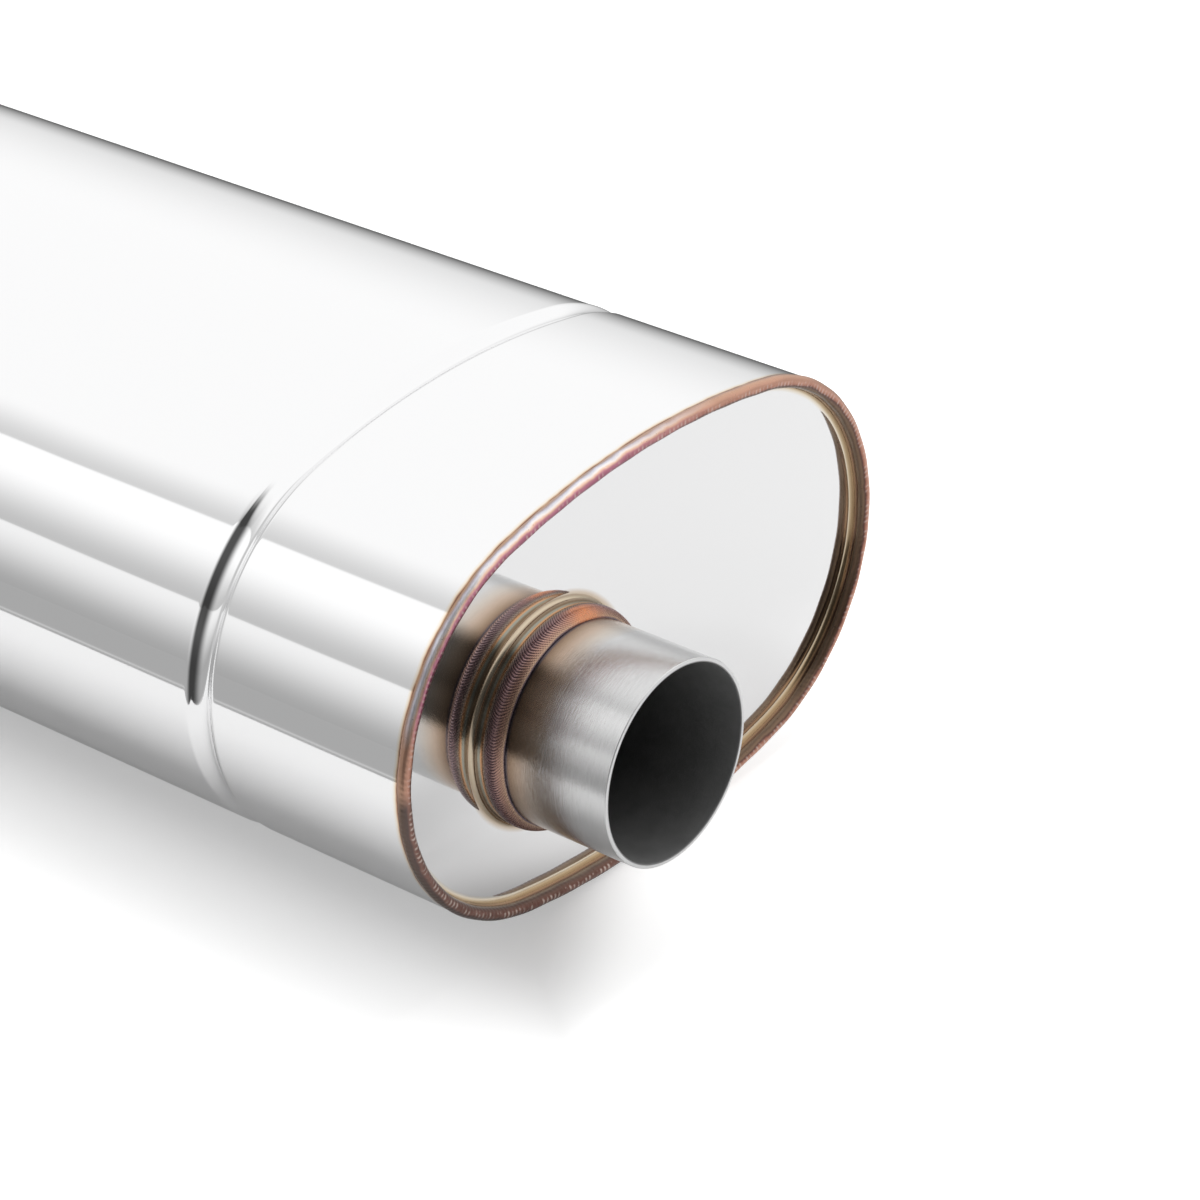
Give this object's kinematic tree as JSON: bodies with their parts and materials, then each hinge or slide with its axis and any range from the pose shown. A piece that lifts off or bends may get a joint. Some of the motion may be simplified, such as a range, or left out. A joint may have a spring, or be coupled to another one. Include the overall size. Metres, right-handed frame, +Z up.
{
  "type": "muffler",
  "caption": "Oval straight-through exhaust muffler with recessed end plates, rolled grooves, rippled welds and a round pipe stub at each end.",
  "frame": {"origin": "on the surface that the muffler lies on, below the middle of the body", "axes": "+Y along the body towards the inlet, +X across the oval's long axis, +Z up"},
  "size_m": [0.2206, 0.534, 0.1386],
  "materials": {
    "polished_steel": "mirror-polished stainless steel",
    "brushed_pipe": "brushed stainless tube with a straw and brown heat tint towards the weld",
    "rim_weld": "rippled weld bead, copper to magenta heat tint",
    "pipe_weld": "rippled weld bead, dark copper heat tint",
    "inner_steel": "plain mill-finish stainless sheet",
    "steel_wool": "stainless steel wool",
    "packing": "glass-fibre packing"
  },
  "bodies": {
    "root": {"shell": "polished_steel", "shell_seam_weld": "inner_steel", "outlet_end_plate": "polished_steel", "outlet_rim_weld": "rim_weld", "outlet_pipe": "brushed_pipe", "outlet_pipe_weld": "pipe_weld", "inlet_end_plate": "polished_steel", "inlet_rim_weld": "rim_weld", "inlet_pipe": "brushed_pipe", "inlet_pipe_weld": "pipe_weld", "core_tube": "inner_steel", "core_weld": "pipe_weld", "outlet_baffle": "inner_steel", "inlet_baffle": "inner_steel", "outlet_steel_wool": "steel_wool", "centre_steel_wool": "steel_wool", "inlet_steel_wool": "steel_wool", "outlet_packing": "packing", "centre_packing": "packing", "inlet_packing": "packing"}
  },
  "joints": []
}
